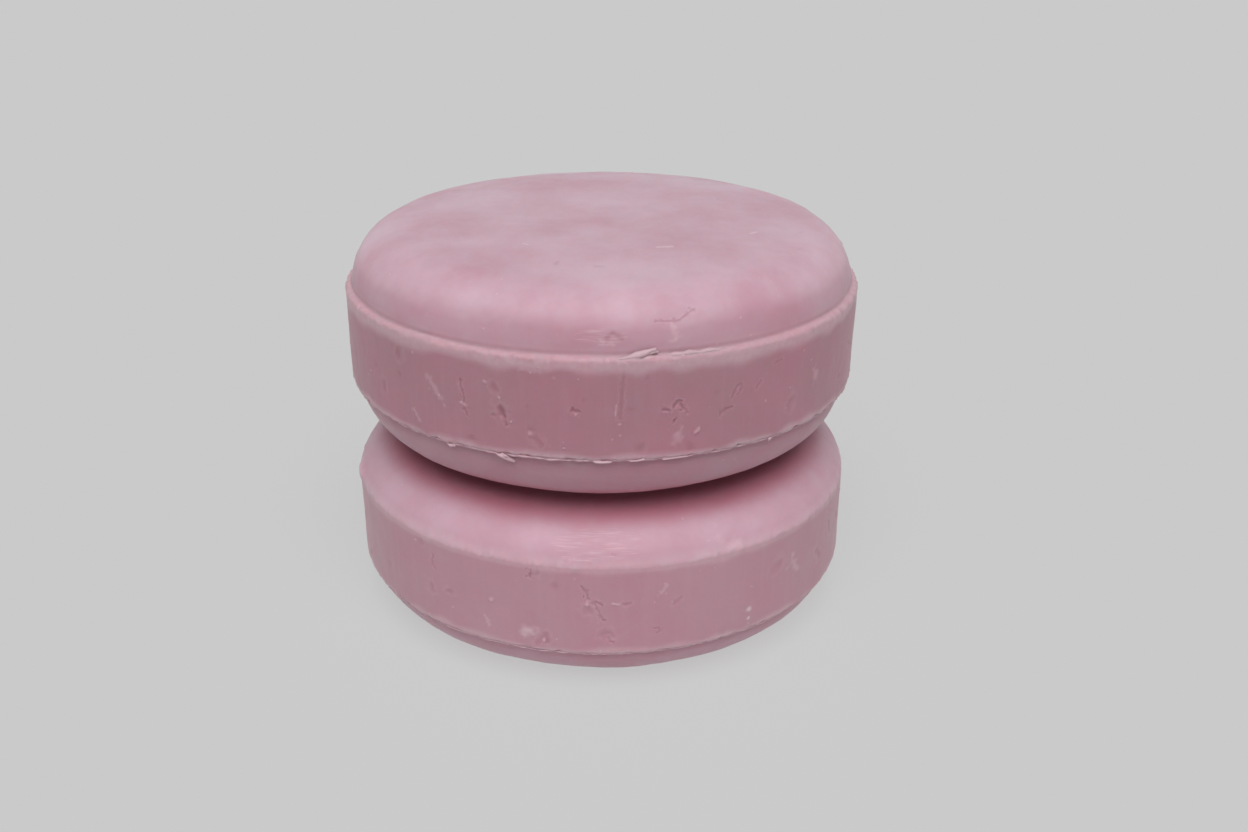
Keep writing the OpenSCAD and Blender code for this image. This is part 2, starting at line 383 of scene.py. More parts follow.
# each mark: kind, face, half its width in mm, then its path as (turn in degrees from the front, level in mm)
# a level is counted along the surface: in from the crown's foot, or on "band" up from the lower rim
upperMarks = [
    ("spot", "top", 0.42, [(21.5, 20.2), (26.5, 19.8)]),
    ("spot", "top", 0.26, [(-31, 20.4), (-28.5, 20.4)]),
    ("spot", "top", 0.26, [(61, 17.2), (64, 16.8)]),
    ("bump", "top", 0.24, [(-24, 2)]),
    ("bump", "top", 0.24, [(40, 4.5)]),
    ("bump", "top", 0.2, [(27, 5)]),
    ("bump", "top", 0.2, [(38, 7.7)]),
    ("stain", "top", 0.5, [(-13, 15.6), (-13, 14.8)]),
    ("stain", "top", 0.5, [(-129, 28.3)]),
    ("stain", "top", 0.5, [(-2, 14.6), (0, 14.6)]),
    ("stain", "top", 0.55, [(112, 21.7)]),
    ("chip", "top", 0.45, [(0.9, 1.9), (2.2, 2.5), (3.9, 1.8)]),
    ("crack", "top", 0.22, [(19.2, 4.9), (17.5, 4.4), (16, 3.8), (15, 3.6), (12.5, 3.7), (10.8, 3.8)]),
    ("smear", "top", 0.5, [(14, 3.3), (14.4, 2.2), (14.6, 1.4)]),
    ("smear", "top", 0.3, [(-0.5, 1.1), (2.5, 1.1)]),
    ("dent", "band", 0.75, [(-45, 10), (-45, 10.8)]),
    ("dent", "band", 0.7, [(-51, 4.4), (-51, 5)]),
    ("smear", "band", 0.6, [(-36.5, 8.9), (-35, 7.6), (-33.6, 6.2)]),
    ("smear", "band", 0.35, [(-41, 3.4), (-39.6, 2)]),
    ("crack", "band", 0.28, [(-28.4, 9.4), (-28.3, 8.2), (-27.6, 7), (-28, 6.1), (-27.2, 4.8)]),
    ("bump", "band", 0.4, [(-28.3, 6.3), (-27.6, 6)]),
    ("dent", "band", 0.55, [(-21.4, 9.6), (-20.8, 8.8)]),
    ("bump", "band", 0.3, [(-20, 7.9)]),
    ("bump", "band", 0.4, [(-23, 9.8)]),
    ("pit", "band", 0.72, [(-19.9, 6.3), (-19.4, 5.5)]),
    ("crack", "band", 0.3, [(-19.2, 5.2), (-18.7, 4.3)]),
    ("smear", "band", 0.6, [(-15.5, 12.3), (-12, 12.2), (-9.6, 12.3)]),
    ("pit", "band", 0.4, [(-5.6, 7.1), (-5.1, 7)]),
    ("bump", "band", 0.26, [(-5, 6.5)]),
    ("bump", "band", 0.45, [(-14, 3.5)]),
    ("dent", "band", 0.6, [(-13.2, 2.8), (-12, 2.2)]),
    ("bump", "band", 0.22, [(-7.4, 2.6)]),
    ("dent", "band", 0.36, [(4.3, 12.9), (3.9, 10), (3.5, 6)]),
    ("bump", "band", 0.18, [(2.8, 7.8), (2.6, 6.4)]),
    ("bump", "band", 0.3, [(3.4, 5.2)]),
    ("bump", "band", 0.22, [(2, 3.1)]),
    ("bump", "band", 0.22, [(3.5, 3.6)]),
    ("crack", "band", 0.4, [(12.1, 6.9), (13, 6.7)]),
    ("crack", "band", 0.42, [(14, 7.3), (14.9, 7.8), (15.9, 6.8)]),
    ("pit", "band", 0.36, [(14.2, 5.3)]),
    ("smear", "band", 0.8, [(14.9, 3), (14.9, 3.4)]),
    ("bump", "band", 0.36, [(18.4, 3.3), (19.2, 3.7)]),
    ("crack", "band", 0.28, [(23.6, 5.4), (24.8, 5.9), (26.2, 6)]),
    ("crack", "band", 0.22, [(26, 7.2), (27.2, 8.8), (28.3, 8.9), (27.7, 7.7)]),
    ("dent", "band", 0.3, [(31.9, 7.9), (32.9, 8.7)]),
    ("crack", "band", 0.2, [(36.2, 10.6), (38.2, 10.9)]),
    ("bump", "band", 0.3, [(44.8, 11)]),
    ("dent", "band", 0.7, [(41, 3.6), (42, 4.6)]),
    ("smear", "band", 0.8, [(49.3, 6.2), (49.8, 7)]),
    ("bump", "under", 0.2, [(-23, 6.1)]),
    ("bump", "under", 0.22, [(26, 1.7)]),
    ("bump", "under", 0.2, [(29, 2.1)]),
]
lowerMarks = [
    ("bump", "top", 0.3, [(-54, 4.1)]),
    ("pit", "top", 0.22, [(2.2, 1.4)]),
    ("patch", "top", 1.15, [(27.5, 0.3), (29.8, 0.5)]),
    ("bump", "top", 0.25, [(39.7, 0.3)]),
    ("bump", "top", 0.18, [(23, 1.8)]),
    ("bump", "top", 1.5, [(-77, 0.4), (-73, 0.2)]),
    ("smear", "top", 0.3, [(-8, 0.7), (-2, 0.5)]),
    ("dent", "band", 0.6, [(-39, 5.3), (-39, 5.9)]),
    ("dent", "band", 0.5, [(-34.4, 6.1), (-33.6, 6.1)]),
    ("crack", "band", 0.25, [(-38, 11), (-38.6, 10), (-37.6, 8.8)]),
    ("pit", "band", 0.36, [(-14.6, 12.2), (-14.7, 11.6)]),
    ("dent", "band", 0.36, [(-13.3, 12.1), (-12.9, 12.3)]),
    ("smear", "band", 0.35, [(-25.3, 4.1), (-24.2, 2.6)]),
    ("bump", "band", 0.5, [(-23.5, 6.9)]),
    ("patch", "band", 1.0, [(-16.2, 3.1), (-15, 3.1)]),
    ("smear", "band", 0.7, [(-13.4, 3)]),
    ("dent", "band", 0.5, [(-13.6, 1.2), (-12.6, 2), (-11.6, 3), (-11.3, 1.6)]),
    ("bump", "band", 0.4, [(-12, 1.8)]),
    ("crack", "band", 0.3, [(-4.2, 10.8), (-3.2, 10), (-2.6, 8.8)]),
    ("crack", "band", 0.32, [(-2.6, 8), (-1.2, 8.5), (0, 8)]),
    ("crack", "band", 0.26, [(-1.4, 8.2), (-0.4, 6.6), (0.2, 5.6)]),
    ("dent", "band", 0.7, [(-3, 7.2), (-2.4, 7)]),
    ("bump", "band", 0.5, [(-2.9, 8)]),
    ("bump", "band", 0.3, [(2.2, 8.2), (3.4, 8)]),
    ("dent", "band", 0.36, [(4.6, 7.9), (6, 8.2)]),
    ("dent", "band", 0.8, [(0.4, 3.3), (1.6, 3.4)]),
    ("crack", "band", 0.3, [(1.4, 2.8), (1.9, 2.2)]),
    ("dent", "band", 0.36, [(0.6, 5.6)]),
    ("crack", "band", 0.2, [(11, 3.9), (11.8, 4), (12.1, 3.4), (11.4, 3.1)]),
    ("smear", "band", 0.4, [(12.2, 9.3), (13.4, 10.6)]),
    ("dent", "band", 0.35, [(15, 7.4), (16.4, 8.2)]),
    ("bump", "band", 0.2, [(10.8, 8)]),
    ("bump", "band", 0.2, [(8.4, 8.6)]),
    ("bump", "band", 0.18, [(20.5, 11.9)]),
    ("bump", "band", 0.18, [(24, 11.8)]),
    ("spot", "band", 0.62, [(33, 3.6)]),
    ("spot", "band", 0.4, [(33, 2.1)]),
    ("bump", "band", 0.3, [(33.5, 7)]),
    ("dent", "band", 0.9, [(40, 8.4), (41.5, 8.8)]),
    ("smear", "band", 0.8, [(46, 8), (47.5, 6.4)]),
]
wildMarks = {  # on the sides that the listed marks leave bare
    "kinds": ["dent", "dent", "dent", "pit", "crack", "smear", "smear", "bump", "bump", "bump"],
    "number": 46,
    "from": 58,  # degrees either side of the front
    "halfWidth": (0.25, 0.75),
    "crackWidth": 0.45,  # in parts of another mark's
    "longest": 2.4,
    "bend": 0.5,  # radians either way
    "crownShare": 0.15,
    "crownLevels": (1, 14),
    "bandLevels": (1.5, 12.5),
}


def scatterMarks(seed, radius):  # marks of every kind at random places round the back
    rng = np.random.default_rng(seed)
    marks = []
    for i in range(wildMarks["number"]):
        kind = wildMarks["kinds"][rng.integers(len(wildMarks["kinds"]))]
        onCrown = rng.random() < wildMarks["crownShare"]
        halfWidth = rng.uniform(*wildMarks["halfWidth"]) * (wildMarks["crackWidth"] if kind == "crack" else 1)
        turn = rng.uniform(wildMarks["from"], 360 - wildMarks["from"])
        level = rng.uniform(*wildMarks["crownLevels" if onCrown else "bandLevels"])
        length = 0 if kind == "bump" else rng.uniform(0, wildMarks["longest"])
        lean = rng.uniform(0, math.pi)
        path = [(turn, level)]
        for part in (0.5, 1):
            bend = lean + rng.uniform(-wildMarks["bend"], wildMarks["bend"])
            step = length * part
            aside = math.degrees(step * mm * math.cos(bend) / radius)
            path.append((turn + aside, level + step * math.sin(bend)))
        marks.append((kind, "top" if onCrown else "band", halfWidth, path))
    return marks


def ringNoise(turns, radius, seed, longest, shortest):  # uneven values round a rim, which meet up
    rng = np.random.default_rng(seed)
    waves = np.arange(round(2 * math.pi * radius / longest), round(2 * math.pi * radius / shortest) + 1)
    samples = np.linspace(0, 2 * math.pi, 4096, endpoint=False)
    swing = np.cos(np.outer(samples, waves) + rng.uniform(0, 2 * math.pi, len(waves))) / np.sqrt(waves)
    heights = swing.sum(axis=1)
    return np.interp(turns, samples, heights / heights.std(), period=2 * math.pi)


def spotOn(shape, face, turn, level):  # a point on the clean puck, from degrees and millimetres
    start, way = {"top": ("topFoot", -1), "band": ("bandFoot", -1), "under": ("lowFoot", 1)}[face]
    here = shape[start] + way * level * mm
    out, up = (np.interp(here, shape["along"], shape["outline"][:, i]) for i in (0, 1))
    angle = math.radians(turn)
    return np.array([out * math.sin(angle), -out * math.cos(angle), up])


def distanceTo(points, path):  # from every point to the nearest place on a path
    nearest = np.full(len(points), np.inf)
    for start, end in zip(path, path[1:] or path):
        step = end - start
        share = np.clip((points - start) @ step / max(step @ step, 1e-12), 0, 1)
        nearest = np.minimum(nearest, np.linalg.norm(points - start - share[:, None] * step, axis=1))
    return nearest


def readPoints(mesh, name, field, width):
    values = np.empty(len(mesh.vertices) * width)
    source = mesh.vertices if name == "vertices" else mesh.attributes[name].data
    source.foreach_get(field, values)
    return values.reshape(-1, width) if width > 1 else values


splitting = {
    "below": (0.9 * mm, 0.45 * mm),  # marks narrower than this get a finer mesh, in two steps
    "reach": 1.6,  # in parts of a mark's half width
    "margin": 3,  # a third of the limit is added to that
}


def splitNear(mesh, paths, finerThan):  # halves the squares near the marks too small for the mesh
    work = bmesh.new()
    work.from_mesh(mesh)
    centres = np.array([face.calc_center_median() for face in work.faces])
    near = np.zeros(len(centres), bool)
    for halfWidth, path in paths:
        if halfWidth < finerThan:
            reach = halfWidth * splitting["reach"] + finerThan / splitting["margin"]
            near |= distanceTo(centres, path) < reach
    edges = {edge for face, chosen in zip(work.faces, near) if chosen for edge in face.edges}
    bmesh.ops.subdivide_edges(work, edges=list(edges), cuts=1, use_grid_fill=True)
    work.to_mesh(mesh)
    work.free()


wearing = {
    "paintedLightFrom": 0.05,  # upward part of the normal where the painted top light begins
    "paintedLightOver": 0.65,  # how much more of it makes the painted top light full
    "leastPaintedLight": (0.5, 0.3),  # least painted top light, on a top crown and elsewhere
    "edgeWaves": (60 * mm, 4 * mm),  # longest and shortest swing of a whitened edge
    "jags": (6 * mm, 0.8 * mm),  # of a rim in and out
    "ups": (8 * mm, 0.8 * mm),  # of a rim up and down
    "lipAt": 1.25,  # distance of a mark's raised lip, and its width, in parts of the mark's half width
    "lipWidth": 0.3,
    "markReach": 2.6,
    "leastTear": 0.4 * mm,
    "free": 0.99,  # crumbs keep to where the surface is this free of pressure
}


def wearSurface(mesh, puck, shape, strokes):  # presses the marks in and breaks up the rims
    home = readPoints(mesh, "home", "vector", 3)
    along = readPoints(mesh, "along", "value", 1)
    free = readPoints(mesh, "free", "value", 1)
    # painted shade in the pits, weakened by pitDarkness
    deep = readPoints(mesh, "deep", "value", 1) * puck["pitDarkness"]
    places = readPoints(mesh, "vertices", "co", 3)
    normals = readPoints(mesh, "vertices", "normal", 3)
    turns = np.arctan2(home[:, 0], -home[:, 1])
    rise = np.zeros(len(home))
    lift = np.zeros(len(home))
    pale = np.zeros(len(home))
    # painted light: surfaces that face up, and every crown a little, get the paler top colour
    facingUp = 1 - fadeOut((normals[:, 2] - wearing["paintedLightFrom"]) / wearing["paintedLightOver"])
    paintedTopLight = np.maximum(facingUp, np.where(along < shape["topRim"], *wearing["leastPaintedLight"]))
    paintedTopLight[(along > shape["topRim" if puck["wornTop"] else "topFoot"]) & (along < shape["lowFoot"])] = 0
    # painted shade where the pucks touch each other and the floor
    paintedContactShade = np.zeros(len(home))
    for face, within, fading, strength in puck["paintedShadeZones"]:
        onFace = along < shape["topRim"] if face == "top" else along > shape["lowRim"]
        paintedContactShade += strength * onFace * fadeOut((np.hypot(home[:, 0], home[:, 1]) - within) / fading)

    for rim in puck["rims"]:
        side = 1 if rim["at"] == "topRim" else -1
        past = side * (along - shape[rim["at"]]) + (pressing["rim"] if side < 0 else 0)  # towards the band
        uneven = ringNoise(turns, shape["radius"], rim["seed"], *wearing["edgeWaves"])
        width = np.where(past > 0, rim["bloomDown"] * np.clip(1 + 0.2 * uneven, 0.5, 1.6), rim["bloomUp"])
        pale = np.maximum(pale, rim["bloom"] * fadeOut((np.abs(past) / width - 0.3) / 0.7))
        jagged = ringNoise(turns, shape["radius"], rim["seed"] + 1, *wearing["jags"])
        onRim = np.exp(-((past - rim["raggedAt"]) / rim["raggedWidth"]) ** 2)
        rise += rim["ragged"] * jagged * onRim
        wavy = ringNoise(turns, shape["radius"], rim["seed"] + 2, *wearing["ups"])
        lift += side * rim["ragged"] * wavy * onRim

    for kind, halfWidth, path in strokes:
        look = markKinds[kind]
        distance = distanceTo(home, path)
        near = np.flatnonzero(distance < halfWidth * wearing["markReach"])
        tear = max(halfWidth, wearing["leastTear"])
        ragged = np.array([noise.noise(Vector(home[i]) / tear) for i in near])
        reach = distance[near] / halfWidth * (1 + look["ragged"] * ragged)
        inside = fadeOut(reach)
        lip = np.exp(-((reach - wearing["lipAt"]) / wearing["lipWidth"]) ** 2)
        rise[near] += halfWidth * (look["lip"] * lip - look["depth"] * inside)
        deep[near] = np.maximum(deep[near], look["deep"] * inside)
        pale[near] = np.maximum(pale[near], np.maximum(look["pale"] * inside, look["lipPale"] * lip))

    places += normals * (rise * free)[:, None]
    places[:, 2] += lift * free
    mesh.vertices.foreach_set("co", places.ravel())
    scraped = np.zeros(len(home))
    levels = (shape["topFoot"] - along) / mm
    for turn, turnReach, level, levelReach in puck["scrapes"]:
        away = np.hypot((np.degrees(turns) - turn) / turnReach, (levels - level) / levelReach)
        scraped = np.maximum(scraped, fadeOut((away - 0.5) / 0.5) * (along < shape["topRim"]))
    crumby = (free > wearing["free"]) & (np.hypot(home[:, 0], home[:, 1]) > puck["crumbsFrom"])
    layers = {"pale": pale, "deep": deep, "paintedTopLight": paintedTopLight, "paintedContactShade": paintedContactShade, "scraped": scraped,
              "crumby": crumby.astype(float)}
    for name, values in layers.items():
        layer = mesh.attributes.get(name) or mesh.attributes.new(name, "FLOAT", "POINT")
        layer.data.foreach_set("value", values)
    mesh.update()


bakeMap = {  # in parts of the map's side
    "discAcross": (0.25, 0.75),  # centres of the discs
    "discUp": 0.75,
    "discRadius": 0.235,
    "stripAcross": (0.25, 0.75),
    "stripUp": (0.1, 0.3),
    "stripWidth": 0.48,
}


def layOutBake(mesh, shape):  # a flat map: two discs for the crowns and four strips for the band
    home = readPoints(mesh, "home", "vector", 3)
    along = readPoints(mesh, "along", "value", 1)
    turns = np.arctan2(home[:, 1], home[:, 0])
    corners = np.empty(len(mesh.loops), int)
    mesh.loops.foreach_get("vertex_index", corners)
    counts = np.empty(len(mesh.polygons), int)
    mesh.polygons.foreach_get("loop_total", counts)
    owner = np.repeat(np.arange(len(counts)), counts)
    middle = np.bincount(owner, along[corners]) / counts
    across = np.arctan2(np.bincount(owner, home[corners, 1]), np.bincount(owner, home[corners, 0]))
    quarter = (np.round(across / (math.pi / 2)) % 4)[owner]
    onTop = (middle < shape["topRim"])[owner]
    onBottom = (middle > shape["lowRim"])[owner]
    here, turn = along[corners], turns[corners]
    reach = np.where(onTop, here, shape["along"][-1] - here) / shape["topRim"] * bakeMap["discRadius"]
    discAcross = np.where(onTop, *bakeMap["discAcross"]) + reach * np.cos(turn)
    discUp = bakeMap["discUp"] + reach * np.sin(turn) * np.where(onTop, 1, -1)
    local = (turn - quarter * math.pi / 2 + math.pi) % (2 * math.pi) - math.pi
    scale = bakeMap["stripWidth"] / (shape["radius"] * math.pi / 2)
    stripAcross = np.where(quarter % 2 == 0, *bakeMap["stripAcross"]) + local * shape["radius"] * scale
    stripUp = np.where(quarter < 2, *bakeMap["stripUp"]) + (shape["lowRim"] - here) * scale
    onDisc = onTop | onBottom
    flat = np.column_stack([np.where(onDisc, discAcross, stripAcross), np.where(onDisc, discUp, stripUp)])
    mesh.uv_layers.new(name="OFBake").data.foreach_set("uv", flat.ravel())


lineSteps = 720  # points on a line of flash round a rim


def flashPath(puck, shape):  # closed lines round the rims and short strips, with each point's girth
    points, edges, girths, pales = [], [], [], []
    for line in puck["flash"]:
        start = len(points)
        out = shape["radius"] - line["in"]
        up = shape[line["at"] + "Up"] + line["up"]
        for i in range(lineSteps):
            angle = 2 * math.pi * i / lineSteps
            points.append((out * math.sin(angle), -out * math.cos(angle), up))
        edges += [(start + i, start + (i + 1) % lineSteps) for i in range(lineSteps)]
        girths += [line["girth"]] * lineSteps
        pales += [line["pale"]] * lineSteps
    for at, strip in puck["strips"]:
        start = len(points)
        for turn, out, up, girth in strip:
            angle, out = math.radians(turn), shape["radius"] + out * mm
            points.append((out * math.sin(angle), -out * math.cos(angle), shape[at + "Up"] + up * mm))
            girths.append(girth * mm)
            pales.append(puck["stripPale"])
        edges += [(i, i + 1) for i in range(start, len(points) - 1)]
    mesh = bpy.data.meshes.new(puck["name"] + "FlashPath")
    mesh.from_pydata(points, edges, [])
    for name, values in (("girth", girths), ("pale", pales)):
        mesh.attributes.new(name, "FLOAT", "POINT").data.foreach_set("value", values)
    return mesh


soapLook = {  # pressed and dried milled soap: waxy, faintly see-through, whitened where it is rubbed; painted light pales the surfaces that face up, and painted shade darkens the pits and the places where the pucks touch
    "top": "#ceb0bd",  # painted light: the paler colour that surfaces facing up take instead of the side colour
    "side": "#a97f8a",
    "rose": "#b67b8c",  # in wide clouds
    "hollow": "#8c4c5c",  # painted shade down in pits, cracks and dents; also the colour of stains and chips
    "paintedContactShade": "#b16073",  # painted shade where a puck rests on the other puck and on the floor
    "bloom": "#e2cdd4",  # where it is rubbed white, and for the painted light over the upper top rim's inner corner
    "mottle": 11 * mm,  # width of a cloud
    "mottling": 0.45,  # the most rose in the clouds
    "grain": 0.7 * mm,  # coarser than real soap's, so that it shows
    "streak": (1.1 * mm, 1.1 * mm, 16 * mm),  # drawn up the band by the mould
    "streaking": 0.03,
    "streakRelief": 0.1,  # in parts of the grain's height, as are the next two
    "scratchRelief": 1.5,
    "speckRelief": 1.2,
    "scrape": (4 * mm, 0.22 * mm),  # length and spacing of the scratches
    "scratching": 0.3,
    "speckCell": 2.8 * mm,
    "speck": 0.12 * mm,
    "speckShare": 0.38,  # of the cells that hold one
    "speckPale": 0.25,
    "relief": 0.022 * mm,  # height of the grain
    "roughness": 0.5,
    "roughnessSpread": 0.08,
    "ior": 1.47,
    "gloss": 0.3,  # dull, since the surface has dried out
    "sheen": 0.08,  # from fine dust of soap
    "sheenRoughness": 0.4,
    "depth": 0.9 * mm,  # how far light gets in
    "depthByColour": (1.0, 0.6, 0.64),
}


def milledSoap(name, look, clearness):  # clearness is 1 for a body and 0 for torn bits
    soap = bpy.data.materials.new(name)
    soap.use_nodes = True
    tree = soap.node_tree
    tree.nodes.clear()
    add = partial(addNode, tree)
    place = add("ShaderNodeTexCoord")["Object"]
    pale, deep, paintedTopLight, paintedContactShade, onBand, scraped, along = (
        add("ShaderNodeAttribute", attribute_name=layer)["Fac"]
        for layer in ("pale", "deep", "paintedTopLight", "paintedContactShade", "onBand", "scraped", "along"))

    # uneven colour: wide clouds, upright streaks on the band, fine grain
    cloud = add("ShaderNodeTexNoise", {
        "Vector": place, "Scale": 1 / look["mottle"], "Detail": 4.0, "Roughness": 0.6})[0]
    cloud = add("ShaderNodeMapRange", {
        "Value": cloud, "From Min": 0.35, "From Max": 0.65, "To Max": look["mottling"]})[0]
    fine = tuple(1 / side for side in look["streak"])
    drawn = add("ShaderNodeMapping", {"Vector": place, "Scale": fine})[0]
    streak = add("ShaderNodeTexNoise", {"Vector": drawn, "Scale": 1.0, "Detail": 2.0})[0]
    streak = add("ShaderNodeMath", {0: streak, 1: onBand}, operation="MULTIPLY")[0]
    grain = add("ShaderNodeTexNoise", {"Vector": place, "Scale": 1 / look["grain"], "Detail": 3.0})[0]
    side, top, rose = linear(look["side"]), linear(look["top"]), linear(look["rose"])
    # painted light: the paler top colour where the surface faces up
    colour = add("ShaderNodeMix", {0: paintedTopLight, 6: side, 7: top}, data_type="RGBA")[2]
    colour = add("ShaderNodeMix", {0: cloud, 6: colour, 7: rose}, data_type="RGBA")[2]
    # painted shade where the pucks touch each other and the floor
    colour = add("ShaderNodeMix", {0: paintedContactShade, 6: colour, 7: linear(look["paintedContactShade"])}, data_type="RGBA")[2]

    # rubbed places whiten, and painted light pales the upper top rim's inner corner: the marks' own paleness,
    # broken up, and the upright streaks
    broken = add("ShaderNodeMapRange", {
        "Value": grain, "From Min": 0.3, "From Max": 0.7, "To Min": 0.86, "To Max": 1.12})[0]
    rubbed = add("ShaderNodeMath", {0: pale, 1: broken}, operation="MULTIPLY")[0]
    streaked = add("ShaderNodeMapRange", {
        "Value": streak, "From Min": 0.5, "From Max": 0.75, "To Max": look["streaking"]})[0]
    rubbed = add("ShaderNodeMath", {0: rubbed, 1: streaked}, operation="ADD")[0]

    # fine scratches in line with the rim
    x = add("ShaderNodeSeparateXYZ", {0: place})[0]
    scratchAcross = add("ShaderNodeMath", {0: x, 1: look["scrape"][0]}, operation="DIVIDE")[0]
    scratchAlong = add("ShaderNodeMath", {0: along, 1: look["scrape"][1]}, operation="DIVIDE")[0]
    scratchPlace = add("ShaderNodeCombineXYZ", {0: scratchAcross, 1: scratchAlong})[0]
    scratch = add("ShaderNodeTexNoise", {"Vector": scratchPlace, "Scale": 1.0, "Detail": 2.0})[0]
    scratch = add("ShaderNodeMath", {0: scratch, 1: scraped}, operation="MULTIPLY")[0]
    scratched = add("ShaderNodeMapRange", {
        "Value": scratch, "From Min": 0.5, "From Max": 0.7, "To Max": look["scratching"]})[0]
    rubbed = add("ShaderNodeMath", {0: rubbed, 1: scratched}, operation="ADD", use_clamp=True)[0]

    # sparse specks of undissolved soap
    cells = add("ShaderNodeTexVoronoi", {"Vector": place, "Scale": 1 / look["speckCell"]})
    size = look["speck"] / look["speckCell"]
    speck = add("ShaderNodeMapRange", {
        "Value": cells["Distance"], "From Min": size, "From Max": size * 1.8,
        "To Min": 1.0, "To Max": 0.0})[0]
    some = add("ShaderNodeMath", {0: cells["Color"], 1: 1 - look["speckShare"]}, operation="GREATER_THAN")[0]
    speck = add("ShaderNodeMath", {0: speck, 1: some}, operation="MULTIPLY")[0]

    # painted shade in pits, cracks and dents, and the colour of stains and chips
    colour = add("ShaderNodeMix", {0: deep, 6: colour, 7: linear(look["hollow"])}, data_type="RGBA")[2]
    colour = add("ShaderNodeMix", {0: rubbed, 6: colour, 7: linear(look["bloom"])}, data_type="RGBA")[2]
    faint = add("ShaderNodeMath", {0: speck, 1: look["speckPale"]}, operation="MULTIPLY")[0]
    colour = add("ShaderNodeMix", {0: faint, 6: colour, 7: linear(look["bloom"])}, data_type="RGBA")[2]

    relief = grain
    for pattern, height in ((streak, "streakRelief"), (scratch, "scratchRelief"), (speck, "speckRelief")):
        relief = add("ShaderNodeMath", {0: pattern, 1: look[height], 2: relief}, operation="MULTIPLY_ADD")[0]
    bump = add("ShaderNodeBump", {"Strength": 1.0, "Distance": look["relief"], "Height": relief})[0]
    rough = add("ShaderNodeMapRange", {
        "Value": grain, "To Min": look["roughness"] - look["roughnessSpread"],
        "To Max": look["roughness"] + look["roughnessSpread"]})[0]
    surface = add("ShaderNodeBsdfPrincipled", {
        "Base Color": colour, "Roughness": rough, "IOR": look["ior"], "Specular IOR Level": look["gloss"],
        "Normal": bump, "Subsurface Weight": clearness, "Subsurface Scale": look["depth"],
        "Subsurface Radius": look["depthByColour"],
        "Sheen Weight": look["sheen"], "Sheen Roughness": look["sheenRoughness"]})[0]
    add("ShaderNodeOutputMaterial", {"Surface": surface})
    return soap


lowerPuck = {
    "name": "lowerPuck",
    "node": "lower_puck",
    "crown": 6.2 * mm,  # height of each crown
    "wornTop": True,
    "pressedOnTop": 1.0,  # 1 where another puck lies on it
    "settling": 7 * mm,  # width over which the pressed flat runs out
    "seed": 3,
    "marks": lowerMarks,
    # painted shade, deeper and redder where the pucks touch each other and the floor: face, radius it
    # reaches, width of the fading edge, strength
    "paintedShadeZones": [("top", 32 * mm, 3.2 * mm, 0.64), ("under", 34 * mm, 1.4 * mm, 0.6)],
    "pitDarkness": 0.2,
    # patches of scratches: turn, its reach, distance in from the crown's foot, its reach
    "scrapes": [(-1, 16, 2.6, 3.6), (171, 10, 6, 2)],
    "crumbsFrom": 26 * mm,
    "rims": [
        {"at": "topRim", "seed": 5, "bloom": 0.2, "bloomUp": 2 * mm, "bloomDown": 1 * mm,
         "ragged": 0.05 * mm, "raggedAt": -0.3 * mm, "raggedWidth": 0.7 * mm},
        {"at": "lowRim", "seed": 9, "bloom": 0.3, "bloomUp": 0.9 * mm, "bloomDown": 1.3 * mm,
         "ragged": 0.05 * mm, "raggedAt": 0.1 * mm, "raggedWidth": 0.45 * mm},
    ],
    "flash": [{"at": "lowRim", "in": 0.26 * mm, "up": 0.04 * mm, "girth": 0.1 * mm, "pale": 0.2}],
    "strips": [],
    "stripPale": 0.4,
    # its own colours; top is again the painted light on surfaces that face up
    "look": soapLook | {"top": "#c9a7b5", "side": "#b8909c", "rose": "#ba8593"},
}
